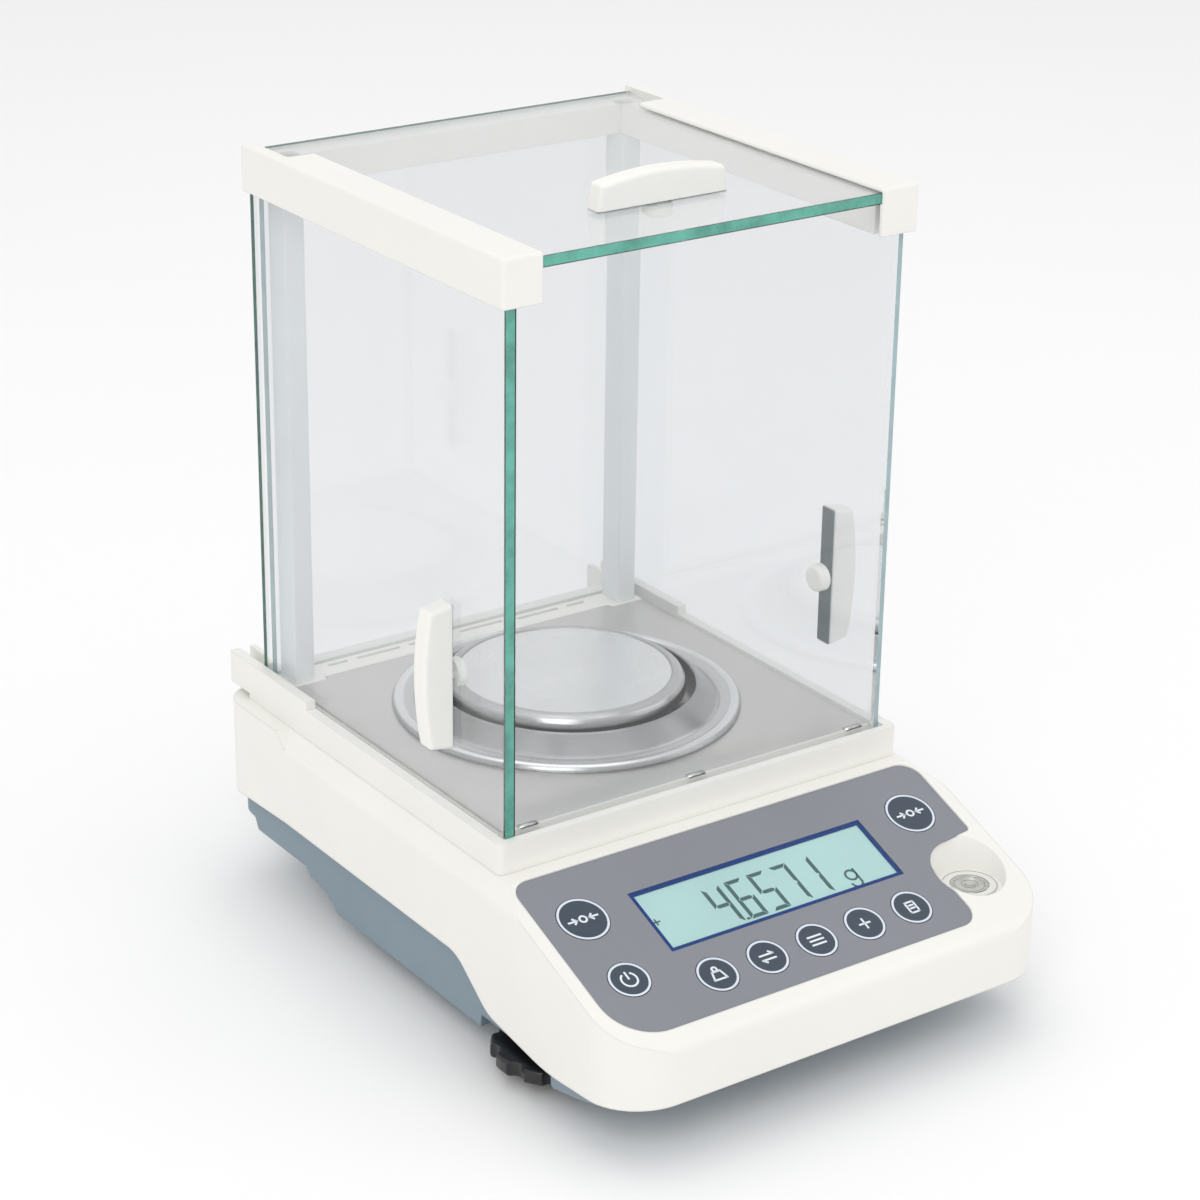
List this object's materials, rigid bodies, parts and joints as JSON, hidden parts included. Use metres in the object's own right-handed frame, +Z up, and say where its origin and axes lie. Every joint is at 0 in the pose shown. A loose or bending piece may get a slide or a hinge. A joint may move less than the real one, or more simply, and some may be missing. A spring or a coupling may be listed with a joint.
{
  "type": "analytical balance",
  "caption": "Electronic analytical balance with a round weighing pan inside a glass draught shield with sliding side and top doors.",
  "frame": {"origin": "on the bench, under the middle of the balance's length and width", "axes": "+X to the right seen from the display side, +Y towards the back, +Z up"},
  "size_m": [0.2266, 0.3234, 0.3581],
  "materials": {
    "shell_plastic": "satin, fine grain",
    "chassis_plastic": "satin",
    "screw_steel": "zinc plated",
    "plate_steel": "brushed",
    "anodised": "satin anodised",
    "clear_glass": "polished",
    "pad_rubber": "matt",
    "pan_steel": "polished rim, satin top",
    "ring_steel": "satin",
    "overlay_film": "matt film",
    "key_film": "matt film",
    "display_film": "clear film",
    "bezel_film": "gloss",
    "board": "solder resist",
    "black_plastic": "gloss",
    "matt_black": "matt",
    "cast_alloy": "as cast",
    "magnet_steel": "blackened",
    "copper": "enamelled wire",
    "brass": "machined",
    "vial": "polished",
    "white_acetal": "smooth",
    "foot_rubber": "matt"
  },
  "bodies": {
    "casing": {"upper_shell": "shell_plastic", "lower_chassis": "chassis_plastic", "chassis_screws": "screw_steel", "shield_base": "shell_plastic", "floor_plate": "plate_steel", "left_column": "anodised", "right_column": "anodised", "column_screws": "screw_steel", "top_frame": "shell_plastic", "front_glass": "clear_glass", "rear_glass": "clear_glass", "keypad_overlay": "overlay_film", "key_switches": "matt_black", "display_window": "display_film", "display_bezel": "bezel_film", "display_module": "matt_black", "display_board": "board", "level_housing": "white_acetal", "level_vial": "vial", "cell_base": "cast_alloy", "parallel_guides": "anodised", "magnet_pot": "magnet_steel", "main_board": "board", "board_standoffs": "white_acetal", "connector_plate": "matt_black", "power_inlet": "black_plastic", "data_port": "screw_steel", "data_port_jackscrews": "brass", "foot_inserts": "brass", "rear_feet": "foot_rubber"},
    "left_door": {"left_door_glass": "clear_glass", "left_door_handle": "shell_plastic", "left_handle_pad": "pad_rubber", "left_handle_nut": "shell_plastic"},
    "right_door": {"right_door_glass": "clear_glass", "right_door_handle": "shell_plastic", "right_handle_pad": "pad_rubber", "right_handle_nut": "shell_plastic"},
    "top_door": {"top_door_glass": "clear_glass", "top_door_handle": "shell_plastic", "top_handle_pad": "pad_rubber", "top_handle_nut": "shell_plastic"},
    "key_left_large_body": {"key_left_large": "key_film"},
    "key_right_large_body": {"key_right_large": "key_film"},
    "key_power_body": {"key_power": "key_film"},
    "key_row_1_body": {"key_row_1": "key_film"},
    "key_row_2_body": {"key_row_2": "key_film"},
    "key_row_3_body": {"key_row_3": "key_film"},
    "key_row_4_body": {"key_row_4": "key_film"},
    "key_row_5_body": {"key_row_5": "key_film"},
    "ring": {"draft_ring": "ring_steel"},
    "pan": {"weighing_pan": "pan_steel"},
    "carrier": {"pan_carrier": "screw_steel"},
    "lever": {"lever_beam": "cast_alloy", "force_coil": "copper"},
    "left_foot": {"left_foot_pad": "foot_rubber"},
    "left_knob": {"left_foot_knob": "black_plastic"},
    "right_foot": {"right_foot_pad": "foot_rubber"},
    "right_knob": {"right_foot_knob": "black_plastic"}
  },
  "joints": [
    {"name": "left_door_slide", "type": "slide", "parent": "casing", "child": "left_door", "axis": [0, 1, 0], "range_m": [0, 0.125]},
    {"name": "right_door_slide", "type": "slide", "parent": "casing", "child": "right_door", "axis": [0, 1, 0], "range_m": [-0.003, 0.125]},
    {"name": "top_door_slide", "type": "slide", "parent": "casing", "child": "top_door", "axis": [0, 1, 0], "range_m": [0, 0.125]},
    {"name": "key_left_large_press", "type": "slide", "parent": "casing", "child": "key_left_large_body", "axis": [0, 0.3548, -0.9349], "range_m": [0, 0.0005], "stiffness_N_per_m": 1500, "springref_m": -0.0003},
    {"name": "key_right_large_press", "type": "slide", "parent": "casing", "child": "key_right_large_body", "axis": [0, 0.3548, -0.9349], "range_m": [0, 0.0005], "stiffness_N_per_m": 1500, "springref_m": -0.0003},
    {"name": "key_power_press", "type": "slide", "parent": "casing", "child": "key_power_body", "axis": [0, 0.3548, -0.9349], "range_m": [0, 0.0005], "stiffness_N_per_m": 1500, "springref_m": -0.0003},
    {"name": "key_row_1_press", "type": "slide", "parent": "casing", "child": "key_row_1_body", "axis": [0, 0.3548, -0.9349], "range_m": [0, 0.0005], "stiffness_N_per_m": 1500, "springref_m": -0.0003},
    {"name": "key_row_2_press", "type": "slide", "parent": "casing", "child": "key_row_2_body", "axis": [0, 0.3548, -0.9349], "range_m": [0, 0.0005], "stiffness_N_per_m": 1500, "springref_m": -0.0003},
    {"name": "key_row_3_press", "type": "slide", "parent": "casing", "child": "key_row_3_body", "axis": [0, 0.3548, -0.9349], "range_m": [0, 0.0005], "stiffness_N_per_m": 1500, "springref_m": -0.0003},
    {"name": "key_row_4_press", "type": "slide", "parent": "casing", "child": "key_row_4_body", "axis": [0, 0.3548, -0.9349], "range_m": [0, 0.0005], "stiffness_N_per_m": 1500, "springref_m": -0.0003},
    {"name": "key_row_5_press", "type": "slide", "parent": "casing", "child": "key_row_5_body", "axis": [0, 0.3548, -0.9349], "range_m": [0, 0.0005], "stiffness_N_per_m": 1500, "springref_m": -0.0003},
    {"name": "ring_lift", "type": "slide", "parent": "casing", "child": "ring", "axis": [0, 0, 1], "range_m": [0, 0.06]},
    {"name": "lever_tilt", "type": "hinge", "parent": "casing", "child": "lever", "pos_m": [0, 0.057, 0.065], "axis": [1, 0, 0], "range_deg": [0, 2.2]},
    {"name": "carrier_sink", "type": "slide", "parent": "casing", "child": "carrier", "axis": [0, 0, 1], "range_m": [-0.0003, 0], "stiffness_N_per_m": 2000, "springref_m": 0.0004},
    {"name": "pan_lift", "type": "slide", "parent": "carrier", "child": "pan", "axis": [0, 0, 1], "range_m": [0, 0.06]},
    {"name": "left_foot_height", "type": "slide", "parent": "casing", "child": "left_foot", "axis": [0, 0, 1], "range_m": [-0.0025, 0.0025]},
    {"name": "left_knob_turn", "type": "hinge", "parent": "left_foot", "child": "left_knob", "pos_m": [-0.0865, -0.077, 0.01], "axis": [0, 0, 1], "range_deg": [-720, 720]},
    {"name": "right_foot_height", "type": "slide", "parent": "casing", "child": "right_foot", "axis": [0, 0, 1], "range_m": [-0.0025, 0.0025]},
    {"name": "right_knob_turn", "type": "hinge", "parent": "right_foot", "child": "right_knob", "pos_m": [0.0865, -0.077, 0.01], "axis": [0, 0, 1], "range_deg": [-720, 720]}
  ],
  "couplings": [
    {"joint": "carrier_sink", "follows": "lever_tilt", "m_per_rad": -0.00765},
    {"joint": "left_foot_height", "follows": "left_knob_turn", "m_per_rad": 0.00019894},
    {"joint": "right_foot_height", "follows": "right_knob_turn", "m_per_rad": 0.00019894}
  ]
}
